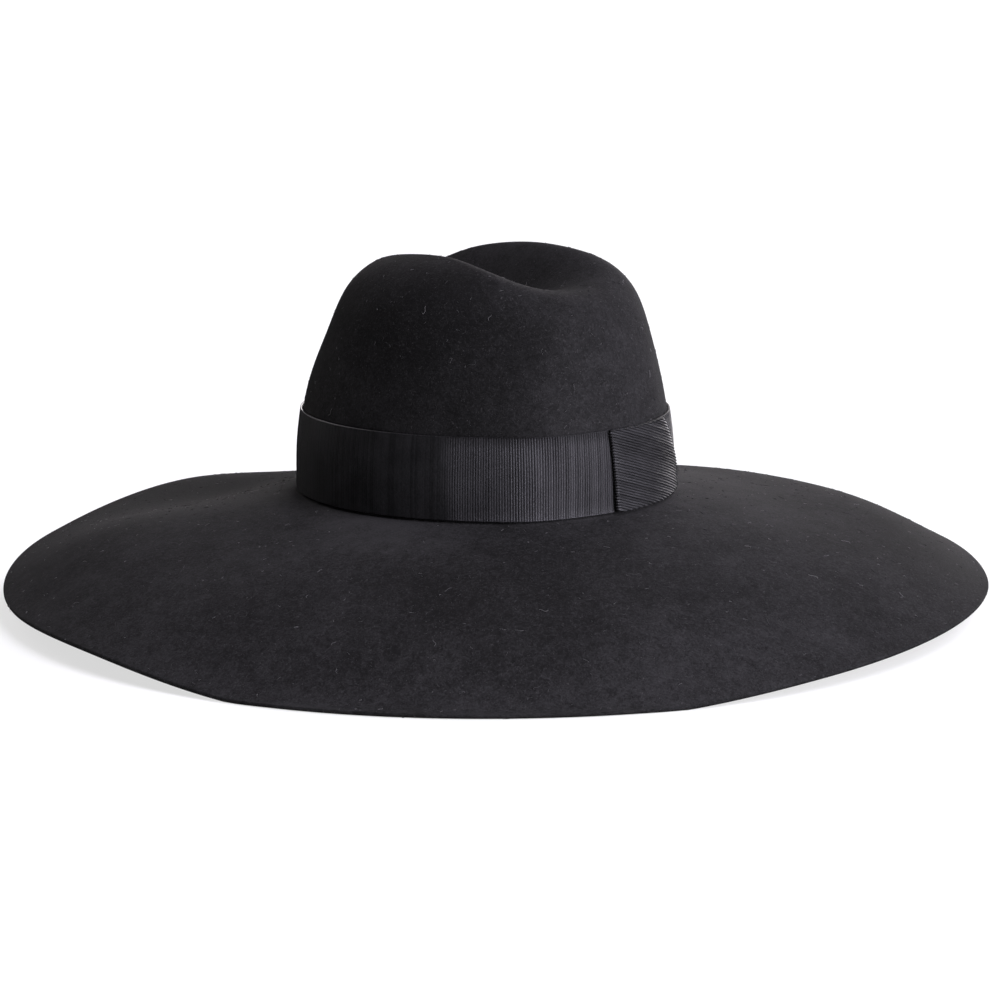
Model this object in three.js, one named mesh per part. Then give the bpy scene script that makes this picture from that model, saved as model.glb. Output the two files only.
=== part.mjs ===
// A wide-brim felt hat standing on its brim: a crown with a long crease and two soft pinches,
// a wide brim that waves a little, a ribbed ribbon round the crown's foot, and a short wrap of the
// same ribbon folded over the ribbon's join.
// Millimetres, +Z up. The front is -Y, the back +Y and the wearer's left +X. The origin is the
// middle of the plan, on the surface that the hat stands on.
import * as THREE from "three";

// Felt
const FELT = 2.4; // thickness
const FOOT_HEIGHT = 57.5; // of the crown's foot over the surface
const BREAK = 1.6; // rounding where the crown turns into the brim

// The crown's axis, from the middle of the plan
const AXIS = { x: 4.8, y: -1.3 };

// The whole hat leans a little, towards the wearer's left front
const LEAN = { towards: 50, degrees: 1.2 };

// The crown's outer surface, from its foot to its middle: heights are over the foot, half sizes and
// the shift towards the back are those of an ellipse at that height
const CROWN = [
  { height: 0, halfLength: 101, halfWidth: 87, shift: 0 },
  { height: 25, halfLength: 100.5, halfWidth: 86.5, shift: 0 },
  { height: 50, halfLength: 97, halfWidth: 83, shift: 0 },
  { height: 75, halfLength: 90.5, halfWidth: 76.5, shift: 1 },
  { height: 95, halfLength: 83, halfWidth: 70, shift: 2 },
  { height: 107, halfLength: 73.5, halfWidth: 62, shift: 3 },
  { height: 115, halfLength: 60, halfWidth: 50.5, shift: 4 },
  { height: 120, halfLength: 41, halfWidth: 35, shift: 4 },
  { height: 122.5, halfLength: 21, halfWidth: 18, shift: 4 },
  { height: 123, halfLength: 0, halfWidth: 0, shift: 4 },
];

// The crease along the crown's top, by station towards the back
const CREASE = [
  { station: -92, depth: 0, halfWidth: 20 },
  { station: -74, depth: 10, halfWidth: 24 },
  { station: -48, depth: 28, halfWidth: 30 },
  { station: -16, depth: 36, halfWidth: 35 },
  { station: 16, depth: 31, halfWidth: 36 },
  { station: 44, depth: 19, halfWidth: 40 },
  { station: 68, depth: 9, halfWidth: 42 },
  { station: 88, depth: 0, halfWidth: 34 },
];

// One soft pinch on each side of the front: angles are from the front
const PINCH = { angle: 40, height: 90, depth: 3, spread: 22, tall: 26 };

// The brim's upper surface, by angle from the front towards the wearer's left: how far the edge
// reaches from the axis, and how far the brim has fallen a third and two thirds of the way out and
// at the edge
const BRIM = [
  { angle: 0, reach: 244, third: 12, twoThirds: 22, edge: 32 },
  { angle: 30, reach: 242, third: 13, twoThirds: 24, edge: 39.5 },
  { angle: 60, reach: 239, third: 7, twoThirds: 18, edge: 46 },
  { angle: 90, reach: 239.5, third: 10, twoThirds: 24, edge: 46 },
  { angle: 120, reach: 243, third: 11, twoThirds: 29, edge: 58 },
  { angle: 150, reach: 244, third: 11, twoThirds: 29, edge: 58.5 },
  { angle: 180, reach: 246.5, third: 11, twoThirds: 26, edge: 49 },
  { angle: 210, reach: 250, third: 10, twoThirds: 22, edge: 43.5 },
  { angle: 240, reach: 252, third: 9, twoThirds: 18, edge: 44.5 },
  { angle: 270, reach: 249, third: 9, twoThirds: 17, edge: 41 },
  { angle: 300, reach: 246, third: 11, twoThirds: 23, edge: 58.5 },
  { angle: 330, reach: 245, third: 11, twoThirds: 23, edge: 54 },
];

// Ribbon
const RIBBON = 1; // thickness
const CLEAR = 0.3; // gap between layers that lie on each other
const RIBBON_HEIGHTS = [1.2, 12.5, 25, 37.5, 41]; // rows up the ribbon, over the foot

// The wrap lies over the ribbon. Its ends run up the crown between the angles below, at its bottom
// and at its top, and a fold thickens the first one
const WRAP = {
  start: { bottom: 178, top: 177 },
  end: { bottom: 228, top: 205 },
  columns: 16,
  fold: 1.6,
  foldWidth: 0.03,
};

// Facets
const COLUMNS = 60; // round the hat
const TOP_ROWS = 15; // down to the crown's shoulder
const WALL_ROWS = 9; // and from there to its foot
const BRIM_ROWS = 9;
const LYING_EDGE = 3; // width of the edge that lies flat where the hat rests

// Small steps that slopes are measured over
const NUDGE = { way: 0.02, place: 0.05, angle: 0.5 };

const FELT_LOOK = new THREE.MeshStandardMaterial({ color: 0x1b1a1d, roughness: 0.95, metalness: 0 });
const RIBBON_LOOK = new THREE.MeshStandardMaterial({ color: 0x222126, roughness: 0.75, metalness: 0 });

const BRIM_WIDTH = BRIM[0].reach - CROWN[0].halfLength; // at the front

// The way along the hat's profile: 0 is the crown's middle
const SHOULDER_WAY = 0.45;
const BREAK_WAYS = { start: 1, end: 2 };
const EDGE_WAY = 3;

const { degToRad: radians, lerp, euclideanModulo } = THREE.MathUtils;

// One number on the smooth curve through four others, at a share of the way from b to c
function smooth(a, b, c, d, share) {
  const linear = c - a;
  const square = 2 * a - 5 * b + 4 * c - d;
  const cube = 3 * b - a - 3 * c + d;
  return 0.5 * (2 * b + linear * share + square * share ** 2 + cube * share ** 3);
}

// A row between two rows of a table. Place 0 is the first row and place 1 the second. A closed
// table goes on from its last row to its first, and an open one runs out straight
function rowAt(table, place, closed = false) {
  const count = table.length;
  const first = closed ? Math.floor(place) : Math.min(Math.max(Math.floor(place), 0), count - 2);
  const value = (index, key) => {
    if (closed) return table[(index + count) % count][key];
    if (index < 0) return 2 * table[0][key] - table[1][key];
    if (index >= count) return 2 * table[count - 1][key] - table[count - 2][key];
    return table[index][key];
  };
  const row = {};
  for (const key of Object.keys(table[0])) {
    const near = [first - 1, first, first + 1, first + 2].map((index) => value(index, key));
    row[key] = smooth(...near, place - first);
  }
  return row;
}

// The place in a table where a key that rises from row to row has a value
function placeOf(table, key, value) {
  const last = table.length - 2;
  let index = 0;
  while (index < last && table[index + 1][key] < value) index += 1;
  const share = (value - table[index][key]) / (table[index + 1][key] - table[index][key]);
  return index + Math.min(Math.max(share, 0), 1);
}

// How far the lean lifts a point of the plan
function lift(x, y) {
  const towards = radians(LEAN.towards);
  return -Math.tan(radians(LEAN.degrees)) * (x * Math.sin(towards) - y * Math.cos(towards));
}

// How far a pinch pushes the crown in
function pinchAt(side, angle, height) {
  const away = euclideanModulo(angle - side * PINCH.angle + 180, 360) - 180;
  const above = height - PINCH.height;
  return PINCH.depth * Math.exp(-((away / PINCH.spread) ** 2) - (above / PINCH.tall) ** 2);
}

// A point of the crown's outer surface, at a place in the crown's table and an angle from the front
function crownPoint(place, angle) {
  const { height, halfLength, halfWidth, shift } = rowAt(CROWN, place);
  let x = halfWidth * Math.sin(radians(angle));
  let y = shift - halfLength * Math.cos(radians(angle));
  for (const side of [-1, 1]) {
    const radius = Math.hypot(x, y);
    const kept = radius ? 1 - pinchAt(side, angle, height) / radius : 1;
    x *= kept;
    y *= kept;
  }
  const crease = rowAt(CREASE, placeOf(CREASE, "station", y));
  const hollow = Math.max(1 - (x / crease.halfWidth) ** 2, 0) ** 2;
  return new THREE.Vector3(x, y, FOOT_HEIGHT + height - crease.depth * hollow + lift(x, y));
}

// A point of the brim's upper surface: out goes from 0 at the crown's foot to 1 at the edge
function brimPoint(out, angle) {
  const foot = crownPoint(0, angle);
  const footReach = Math.hypot(foot.x, foot.y);
  const heading = Math.atan2(foot.x, -foot.y);
  const turn = euclideanModulo(heading / (2 * Math.PI), 1);
  const { reach, third, twoThirds, edge } = rowAt(BRIM, turn * BRIM.length, true);
  const fall = [0, third, twoThirds, edge].map((value) => ({ value }));
  const radius = lerp(footReach, reach, out);
  const x = radius * Math.sin(heading);
  const y = -radius * Math.cos(heading);
  const z = FOOT_HEIGHT - rowAt(fall, 3 * out).value + lift(x, y) * (1 - out) ** 2;
  return new THREE.Vector3(x, y, z);
}

// A point of the hat's upper surface: way 0 is the middle of the crown, the two break ways are the
// ends of the rounding between crown and brim, and the last way is the brim's edge
function upperPoint(way, angle) {
  const breakPlace = placeOf(CROWN, "height", BREAK);
  const breakOut = BREAK / BRIM_WIDTH;
  if (way <= BREAK_WAYS.start) return crownPoint(lerp(CROWN.length - 1, breakPlace, way), angle);
  if (way >= BREAK_WAYS.end) return brimPoint(lerp(breakOut, 1, way - BREAK_WAYS.end), angle);
  const start = crownPoint(breakPlace, angle);
  const end = brimPoint(breakOut, angle);
  const rounding = new THREE.QuadraticBezierCurve3(start, crownPoint(0, angle), end);
  return rounding.getPoint(way - BREAK_WAYS.start);
}

// The direction straight out of the upper surface
function outward(way, angle) {
  const outer = upperPoint(Math.min(way + NUDGE.way, EDGE_WAY), angle);
  const along = outer.sub(upperPoint(Math.max(way - NUDGE.way, 0), angle));
  const across = upperPoint(way, angle + NUDGE.angle).sub(upperPoint(way, angle - NUDGE.angle));
  return along.cross(across).normalize();
}

// The upper and lower point of the felt. Where the lower one would sink into the surface that the
// hat stands on, the felt is lifted, so it lies flat there
function wallPoints(way, angle) {
  const upper = upperPoint(way, angle);
  const normal = way === 0 ? new THREE.Vector3(0, 0, 1) : outward(way, angle);
  const lower = upper.clone().addScaledVector(normal, -FELT);
  const rise = Math.max(-lower.z, 0);
  upper.z += rise;
  lower.z += rise;
  return [upper, lower];
}

// A point that lies over the crown's wall, at a height over the foot and a distance off the felt
function overWall(height, angle, off) {
  const place = placeOf(CROWN, "height", height);
  const point = crownPoint(place, angle);
  const up = crownPoint(place + NUDGE.place, angle).sub(point);
  const round = crownPoint(place, angle + NUDGE.angle).sub(crownPoint(place, angle - NUDGE.angle));
  return point.addScaledVector(round.cross(up).normalize(), off);
}

// The faces between loops of equally many points, each joined to the next one. A ring of loops
// joins its last loop to its first too
function sideFaces(rows, count, ring) {
  const faces = [];
  for (let row = 0; row < (ring ? rows : rows - 1); row += 1) {
    const next = (row + 1) % rows;
    for (let column = 0; column < count; column += 1) {
      const beside = (column + 1) % count;
      const [a, b] = [row * count + column, row * count + beside];
      const [c, d] = [next * count + beside, next * count + column];
      faces.push(a, d, c, a, c, b);
    }
  }
  return faces;
}

// The faces that close the first and the last loop to a point each
function poleFaces(rows, count) {
  const last = (rows - 1) * count;
  const [firstPole, lastPole] = [rows * count, rows * count + 1];
  const faces = [];
  for (let column = 0; column < count; column += 1) {
    const beside = (column + 1) % count;
    faces.push(firstPole, column, beside, lastPole, last + beside, last + column);
  }
  return faces;
}

// The faces that close the first and the last loop where each is a thin section, whose first half
// goes up one side of it and whose second half comes down the other
function sectionFaces(rows, count) {
  const last = (rows - 1) * count;
  const faces = [];
  for (let low = 0; low < count / 2 - 1; low += 1) {
    const high = low + 1;
    const [lowBack, highBack] = [count - 1 - low, count - 1 - high];
    faces.push(low, high, highBack, low, highBack, lowBack);
    faces.push(last + low, last + highBack, last + high, last + low, last + lowBack, last + highBack);
  }
  return faces;
}

function meshOf(name, look, points, faces) {
  const geometry = new THREE.BufferGeometry().setFromPoints(points);
  geometry.setIndex(faces);
  geometry.computeVertexNormals();
  const mesh = new THREE.Mesh(geometry, look);
  mesh.name = name;
  return mesh;
}

// Numbers in even steps from one value to another, both included
function steps(from, to, count) {
  return Array.from({ length: count + 1 }, (_, index) => lerp(from, to, index / count));
}

const angles = steps(0, 360, COLUMNS).slice(0, -1);

// Crown and brim: the upper surface from the crown's middle to the edge, and the lower one back
function feltBody() {
  const ways = [
    ...steps(0, SHOULDER_WAY, TOP_ROWS).slice(1),
    ...steps(SHOULDER_WAY, BREAK_WAYS.start, WALL_ROWS).slice(1),
    (BREAK_WAYS.start + BREAK_WAYS.end) / 2,
    ...steps(BREAK_WAYS.end, EDGE_WAY, BRIM_ROWS).slice(0, -1),
    EDGE_WAY - LYING_EDGE / BRIM_WIDTH,
    EDGE_WAY,
  ];
  const rows = ways.map((way) => angles.map((angle) => wallPoints(way, angle)));
  const upper = rows.map((row) => row.map(([above]) => above));
  const lower = rows.map((row) => row.map(([, below]) => below)).reverse();
  const loops = [...upper, ...lower];
  const faces = [...sideFaces(loops.length, COLUMNS, false), ...poleFaces(loops.length, COLUMNS)];
  return meshOf("felt_body", FELT_LOOK, [...loops.flat(), ...wallPoints(0, 0)], faces);
}

// A thin section of ribbon that follows the crown's wall: up its outer side and down its inner one.
// angleAt gives the angle of each height
function ribbonSection(angleAt, under, thickness) {
  const outer = RIBBON_HEIGHTS.map((height) => overWall(height, angleAt(height), under + thickness));
  const inner = RIBBON_HEIGHTS.map((height) => overWall(height, angleAt(height), under));
  return [...outer, ...inner.reverse()];
}

// The ribbon, all the way round the crown
function ribbonBand() {
  const loops = angles.map((angle) => ribbonSection(() => angle, CLEAR, RIBBON));
  const faces = sideFaces(loops.length, loops[0].length, true);
  return meshOf("ribbon_band", RIBBON_LOOK, loops.flat(), faces);
}

// The wrap, whose sections lean as its two ends do. The fold thickens the first ones
function ribbonWrap() {
  const top = RIBBON_HEIGHTS.at(-1);
  const endAngle = (end, height) => lerp(end.bottom, end.top, height / top);
  const loops = [0, ...steps(WRAP.foldWidth, 1, WRAP.columns)].map((across) => {
    const angleAt = (height) => lerp(endAngle(WRAP.start, height), endAngle(WRAP.end, height), across);
    const thickness = across < WRAP.foldWidth ? WRAP.fold : RIBBON;
    return ribbonSection(angleAt, 2 * CLEAR + RIBBON, thickness);
  });
  const [rows, count] = [loops.length, loops[0].length];
  const faces = [...sideFaces(rows, count, false), ...sectionFaces(rows, count)];
  return meshOf("ribbon_wrap", RIBBON_LOOK, loops.flat(), faces);
}

const hat = new THREE.Group();
hat.name = "wide_brim_felt_hat";
hat.add(feltBody(), ribbonBand(), ribbonWrap());
hat.position.set(AXIS.x, AXIS.y, 0);

export default hat;
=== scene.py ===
"""A black felt hat with a wide brim: the felt with its crease, pinches and soft waves, a ribbed
ribbon round the crown's foot, a wrap of the same ribbon over its join, and the lint on the felt.

Sizes are in millimetres and angles in degrees until a mesh is made. +Z is up, the front is -Y and
the wearer's left is +X. Angles go from the front towards the wearer's left.
"""

import logging
import math
from dataclasses import dataclass
from enum import Enum
from typing import Any, Callable, Union

import bpy
import numpy as np
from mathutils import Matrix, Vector


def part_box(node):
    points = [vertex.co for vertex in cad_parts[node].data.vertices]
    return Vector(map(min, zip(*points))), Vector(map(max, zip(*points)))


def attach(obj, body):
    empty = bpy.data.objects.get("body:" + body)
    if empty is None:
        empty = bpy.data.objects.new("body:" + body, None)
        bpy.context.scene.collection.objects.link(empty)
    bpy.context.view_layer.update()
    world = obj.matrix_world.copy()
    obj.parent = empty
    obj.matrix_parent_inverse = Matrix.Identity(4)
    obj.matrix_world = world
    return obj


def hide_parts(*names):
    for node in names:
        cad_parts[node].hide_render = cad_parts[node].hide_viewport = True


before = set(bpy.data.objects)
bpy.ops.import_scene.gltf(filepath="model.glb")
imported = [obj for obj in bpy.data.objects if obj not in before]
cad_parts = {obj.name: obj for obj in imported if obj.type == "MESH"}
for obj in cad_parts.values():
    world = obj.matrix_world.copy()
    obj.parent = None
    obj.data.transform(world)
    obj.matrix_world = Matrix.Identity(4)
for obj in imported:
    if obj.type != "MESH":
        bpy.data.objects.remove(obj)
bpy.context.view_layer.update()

MM = 0.001
BODY = "root"
COOL = (0.985, 0.965, 1.075)
WARM = (1.02, 0.97, 0.99)

Numbers = np.ndarray | float
Faces = list[tuple[int, ...]]
Colour = tuple[float, float, float]

log = logging.getLogger("hat")


# Form


@dataclass(frozen=True)
class Table:
    """Rows of numbers that a smooth curve joins."""

    rows: tuple[tuple[float, ...], ...]
    closed: bool = False

    def at(self, place: Numbers) -> Numbers:
        """Reads rows between the table's rows.

        Args:
            place: where to read, 0 at the first row and 1 at the second.

        Returns:
            One row of values for each place, along the last axis.
        """
        rows = np.array(self.rows)
        count = len(rows)
        if self.closed:
            near = np.floor(place).astype(int)
            corners = [rows[(near + step) % count] for step in (-1, 0, 1, 2)]
        else:
            longer = np.vstack([2 * rows[0] - rows[1], rows, 2 * rows[-1] - rows[-2]])
            near = np.clip(np.floor(place).astype(int), 0, count - 2)
            corners = [longer[near + step] for step in range(4)]
        return smooth(*corners, (place - near)[..., None])

    def place(self, column: int, value: Numbers) -> Numbers:
        """Finds where a column that rises from row to row has a value.

        Args:
            column: the column's number.
            value: the values to find.

        Returns:
            The place of each value.
        """
        known = np.array(self.rows)[:, column]
        return np.interp(value, known, np.arange(len(known)))


def smooth(a: Numbers, b: Numbers, c: Numbers, d: Numbers, share: Numbers) -> Numbers:
    """Reads the smooth curve through four values.

    Args:
        a, b, c, d: the values.
        share: how far to go from b to c.

    Returns:
        The value there.
    """
    square = 2 * a - 5 * b + 4 * c - d
    cube = 3 * b - a - 3 * c + d
    return 0.5 * (2 * b + (c - a) * share + square * share**2 + cube * share**3)


def unit(vectors: Numbers) -> Numbers:
    """Scales vectors, along the last axis, to length one."""
    return vectors / np.maximum(np.linalg.norm(vectors, axis=-1, keepdims=True), 1e-12)


@dataclass(frozen=True)
class Spot:
    """A soft dent, wave or patch of the hat, which fades all round its middle.

    It fades round the hat over its turn, and up and down over its reach. The place and the reach
    are heights, ways down the profile or shares of the way out, as where it is used says.
    """

    angle: float
    place: float
    turn: float
    reach: float
    most: float

    def at(self, places: Numbers, angles: Numbers) -> Numbers:
        """Says how strong the spot is.

        Args:
            places: the points' places, counted as the spot's own.
            angles: angles round the crown.

        Returns:
            The strength at each point, which is the most in the spot's middle.
        """
        away = (angles - self.angle + 180) % 360 - 180
        far = ((places - self.place) / self.reach) ** 2 + (away / self.turn) ** 2
        return self.most * np.exp(-far)


@dataclass(frozen=True)
class Ridge:
    """The soft upright ridge where the crown turns from its flat back to its side."""

    angle: float = 147.5
    slant: float = 0.125
    height: float = 3.6
    spread: float = 14.0
    fades_above: float = 88.0
    fade: float = 16.0

    def height_at(self, angle: Numbers, height: Numbers) -> Numbers:
        """Says how far the ridge stands out.

        Args:
            angle: angles round the crown.
            height: heights over the crown's foot.

        Returns:
            The height of the ridge at each point.
        """
        away = (angle - self.angle - self.slant * height + 180) % 360 - 180
        above = np.maximum(height - self.fades_above, 0)
        return self.height * np.exp(-((away / self.spread) ** 2) - (above / self.fade) ** 2)


@dataclass(frozen=True)
class HatForm:
    """The hat's surfaces, from the crown's axis.

    The crown's rows are height over the foot, half length, half width and shift to the back; the
    crease's are station towards the back, depth and half width; the brim's, every 30 degrees, are
    the edge's reach and the fall a third of the way out, two thirds of it and at the edge. The
    pinches are placed by height over the foot, and the waves by their share of the way out.
    """

    felt: float = 2.4
    foot_height: float = 57.5
    rounding: float = 1.6
    lean_towards: float = 50.0
    lean_degrees: float = 1.2
    pinches: tuple[Spot, ...] = (
        Spot(angle=-40.0, place=90.0, turn=22.0, reach=26.0, most=-3.0),
        Spot(angle=40.0, place=90.0, turn=22.0, reach=26.0, most=-3.0),
    )
    ridge: Ridge = Ridge()
    crown: Table = Table(
        (
            (0, 101, 87, 0), (25, 100.5, 86.5, 0), (50, 97, 83, 0), (75, 90.5, 76.5, 1),
            (95, 83, 70, 2), (107, 73.5, 62, 3), (115, 60, 50.5, 4), (120, 41, 35, 4),
            (122.5, 21, 18, 4), (123, 0, 0, 4),
        )
    )
    crease: Table = Table(
        (
            (-92, 0, 20), (-74, 10, 24), (-48, 28, 30), (-16, 36, 35),
            (16, 31, 36), (44, 19, 40), (68, 9, 42), (88, 0, 34),
        )
    )
    brim: Table = Table(
        (
            (244, 12, 22, 32), (242, 13, 24, 39.5), (239, 7, 18, 46), (239.5, 10, 24, 46),
            (243, 11, 29, 58), (244, 11, 29, 58.5), (246.5, 11, 26, 49), (250, 10, 22, 43.5),
            (252, 9, 18, 44.5), (249, 9, 17, 41), (246, 11, 23, 58.5), (245, 11, 23, 54),
        ),
        closed=True,
    )
    waves: tuple[Spot, ...] = (
        Spot(angle=-9.0, place=1.0, turn=18.0, reach=0.30, most=4.4),
        Spot(angle=9.0, place=0.5, turn=22.0, reach=0.24, most=-5.2),
        Spot(angle=244.0, place=0.95, turn=14.0, reach=0.38, most=3.5),
    )
    least_radius: float = 20.0
    slope_step: float = 0.02
    place_step: float = 0.05
    angle_step: float = 0.5
    samples: int = 720

    def lift(self, x: Numbers, y: Numbers) -> Numbers:
        """Says how far the hat's lean lifts points of the plan."""
        turn, slope = math.radians(self.lean_towards), math.tan(math.radians(self.lean_degrees))
        return -slope * (x * math.sin(turn) - y * math.cos(turn))

    def crown_point(self, place: Numbers, angle: Numbers) -> Numbers:
        """Finds points of the crown's outer surface.

        Args:
            place: places in the crown's table.
            angle: angles round the crown.

        Returns:
            The points, along the last axis.
        """
        height, half_length, half_width, shift = np.moveaxis(self.crown.at(place), -1, 0)
        turn = np.radians(angle)
        x = half_width * np.sin(turn)
        y = shift - half_length * np.cos(turn)
        for pinch in self.pinches:
            kept = 1 + pinch.at(height, angle) / np.maximum(np.hypot(x, y), 1e-6)
            x, y = x * kept, y * kept
        radius = np.maximum(np.hypot(x, y), self.least_radius)
        grown = 1 + self.ridge.height_at(angle, height) / radius
        x, y = x * grown, y * grown
        _, depth, half = np.moveaxis(self.crease.at(self.crease.place(0, y)), -1, 0)
        hollow = np.maximum(1 - (x / half) ** 2, 0) ** 2
        z = self.foot_height + height - depth * hollow + self.lift(x, y)
        return np.stack([x, y, z], -1)

    def brim_point(self, out: Numbers, angle: Numbers) -> Numbers:
        """Finds points of the brim's upper surface.

        Args:
            out: 0 at the crown's foot and 1 at the brim's edge.
            angle: angles round the crown.

        Returns:
            The points, along the last axis.
        """
        foot = self.crown_point(np.zeros_like(angle), angle)
        heading = np.arctan2(foot[..., 0], -foot[..., 1])
        row = self.brim.at(heading / (2 * np.pi) % 1 * len(self.brim.rows))
        reach = np.hypot(foot[..., 0], foot[..., 1])
        radius = reach + (row[..., 0] - reach) * out
        fall = np.concatenate([np.zeros_like(row[..., :1]), row[..., 1:]], -1)
        ends = [2 * fall[..., :1] - fall[..., 1:2], fall, 2 * fall[..., -1:] - fall[..., -2:-1]]
        longer = np.concatenate(ends, -1)
        near = np.clip(np.floor(3 * out).astype(int), 0, 2)
        corners = [
            np.take_along_axis(longer, (near + step)[..., None], -1)[..., 0] for step in range(4)
        ]
        fallen = smooth(*corners, 3 * out - near)
        risen = sum(wave.at(out, np.degrees(heading)) for wave in self.waves)
        x, y = radius * np.sin(heading), -radius * np.cos(heading)
        z = self.foot_height - (fallen - risen) + self.lift(x, y) * (1 - out) ** 2
        return np.stack([x, y, z], -1)

    def upper(self, way: Numbers, angle: Numbers) -> Numbers:
        """Finds points of the hat's upper surface.

        Args:
            way: 0 at the crown's middle, 1 and 2 where the crown's foot is rounded, 3 at the edge.
            angle: angles round the crown.

        Returns:
            The points, along the last axis.
        """
        way, angle = np.broadcast_arrays(np.asarray(way, float), np.asarray(angle, float))
        last = len(self.crown.rows) - 1
        low = self.crown.place(0, self.rounding)
        first_out = self.rounding / (self.brim.rows[0][0] - self.crown.rows[0][1])
        crown = self.crown_point(last + (low - last) * np.clip(way, 0, 1), angle)
        brim = self.brim_point(first_out + (1 - first_out) * np.clip(way - 2, 0, 1), angle)
        foot = self.crown_point(np.zeros_like(angle), angle)
        share = np.clip(way - 1, 0, 1)[..., None]
        bend = (1 - share) ** 2 * crown + 2 * share * (1 - share) * foot + share**2 * brim
        return np.where((way <= 1)[..., None], crown, np.where((way >= 2)[..., None], brim, bend))

    def outward(self, way: Numbers, angle: Numbers) -> Numbers:
        """Finds the directions straight out of the upper surface.

        Args:
            way: ways down the hat's profile.
            angle: angles round the crown.

        Returns:
            The directions, along the last axis.
        """
        along = self.upper(np.minimum(way + self.slope_step, 3), angle)
        along = along - self.upper(np.maximum(way - self.slope_step, 0), angle)
        across = self.upper(way, angle + self.angle_step)
        across = across - self.upper(way, angle - self.angle_step)
        return unit(np.cross(along, across))

    def wall(self, way: Numbers, angle: Numbers, depth: float) -> Numbers:
        """Finds points in the felt, which lies flat where it would sink into what it stands on.

        Args:
            way: ways down the hat's profile.
            angle: angles round the crown.
            depth: 0 on the felt's upper surface and 1 on its lower one.

        Returns:
            The points, along the last axis.
        """
        top = self.upper(way, angle)
        inward = -self.felt * self.outward(way, angle)
        point = top + inward * depth
        point[..., 2] += np.maximum(-(top + inward)[..., 2], 0)
        return point

    def over_wall(self, height: Numbers, angle: Numbers, off: Numbers) -> Numbers:
        """Finds points that lie over the crown's wall.

        Args:
            height: heights over the crown's foot.
            angle: angles round the crown.
            off: distances off the felt.

        Returns:
            The points, along the last axis.
        """
        height, angle, off = np.broadcast_arrays(height, angle, off)
        place = self.crown.place(0, height)
        point = self.crown_point(place, angle)
        up = self.crown_point(place + self.place_step, angle) - point
        ahead = self.crown_point(place, angle + self.angle_step)
        behind = self.crown_point(place, angle - self.angle_step)
        return point + unit(np.cross(ahead - behind, up)) * off[..., None]

    def angles_at(self, height: float, lengths: Numbers) -> Numbers:
        """Turns lengths round the wall into angles.

        Args:
            height: the height over the foot that the lengths are measured at.
            lengths: lengths from the front, or shares of the whole way if none is over 1.

        Returns:
            The angle at each length.
        """
        known = np.linspace(0, 360, 2 * self.samples + 1)
        ring = self.over_wall(height, known, 0.0)
        pieces = np.linalg.norm(np.diff(ring, axis=0), axis=-1)
        gone = np.concatenate([[0], np.cumsum(pieces)])
        whole = gone[-1] if np.max(lengths) <= 1 else 1
        return np.interp(lengths * whole, gone, known)

    def length_at(self, height: float, angle: float) -> float:
        """Measures the way round the wall from the front to an angle.

        Args:
            height: the height over the foot that it is measured at.
            angle: the angle.

        Returns:
            The length.
        """
        known = np.linspace(0, angle, self.samples + 1)
        ring = self.over_wall(height, known, 0.0)
        return float(np.linalg.norm(np.diff(ring, axis=0), axis=-1).sum())


# Meshes


def grid_faces(rows: int, columns: int) -> Faces:
    """Joins closed rows of points, one below another, by quads that face out.

    Args:
        rows: how many rows there are.
        columns: how many points each row has.

    Returns:
        The faces.
    """
    faces: Faces = []
    for start in range(0, (rows - 1) * columns, columns):
        below = start + columns
        for column in range(columns):
            beside = (column + 1) % columns
            faces.append((start + column, below + column, below + beside, start + beside))
    return faces


def axis() -> Vector:
    """Finds the crown's axis, as a point on the table, from the ribbon's solid."""
    low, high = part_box("ribbon_band")
    return Vector(((low.x + high.x) / 2, (low.y + high.y) / 2, 0))


def towards(azimuth: float, elevation: float = 0.0) -> Vector:
    """Finds a direction away from the hat.

    Args:
        azimuth: its angle round the hat, from the front towards the wearer's left.
        elevation: its angle over the table.

    Returns:
        The direction, of length one.
    """
    turn, rise = math.radians(azimuth), math.radians(elevation)
    flat = math.cos(rise)
    return Vector((math.sin(turn) * flat, -math.cos(turn) * flat, math.sin(rise)))


def placed(name: str, data: bpy.types.ID) -> bpy.types.Object:
    """Makes an object and puts it in the scene.

    Args:
        name: its name.
        data: its mesh, camera or light.

    Returns:
        The object.
    """
    thing = bpy.data.objects.new(name, data)
    bpy.context.collection.objects.link(thing)
    return thing


def new_piece(name: str, points: Numbers, faces: Faces) -> bpy.types.Object:
    """Makes an object at the origin from points round the crown's axis.

    Args:
        name: the piece's name.
        points: its points, in millimetres from the crown's axis.
        faces: its faces.

    Returns:
        The new object.
    """
    mesh = bpy.data.meshes.new(name)
    mesh.from_pydata((points.reshape(-1, 3) * MM + np.array(axis())).tolist(), [], faces)
    mesh.shade_smooth()
    return placed(name, mesh)


class Mark(Enum):
    """Numbers that a mesh keeps for each point."""

    RIB = "rib"  # which rib, with the share of the way across it
    OUTSIDE = "outside"  # how fully ribs or lint show
    ALONG = "along"  # the way along the rib, in metres
    TONE = "tone"  # a rib's or a fibre's own tone
    SHADE = "shade"  # painted light and shade: how much paler than the rest
    NAP = "nap"  # how coarse the felt is


def keep(piece: bpy.types.Object, mark: Mark, values: Numbers) -> None:
    """Keeps a number for each point of a piece's mesh."""
    layer = piece.data.attributes.new(mark.value, "FLOAT", "POINT")
    layer.data.foreach_set("value", np.ravel(values).astype(float))


def triangles(piece: bpy.types.Object) -> int:
    """Counts the triangles of a piece."""
    return sum(len(face.vertices) - 2 for face in piece.data.polygons)


# Nodes

Value = Union["Wire", float, int, bool, str, tuple, bpy.types.ID]


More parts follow.
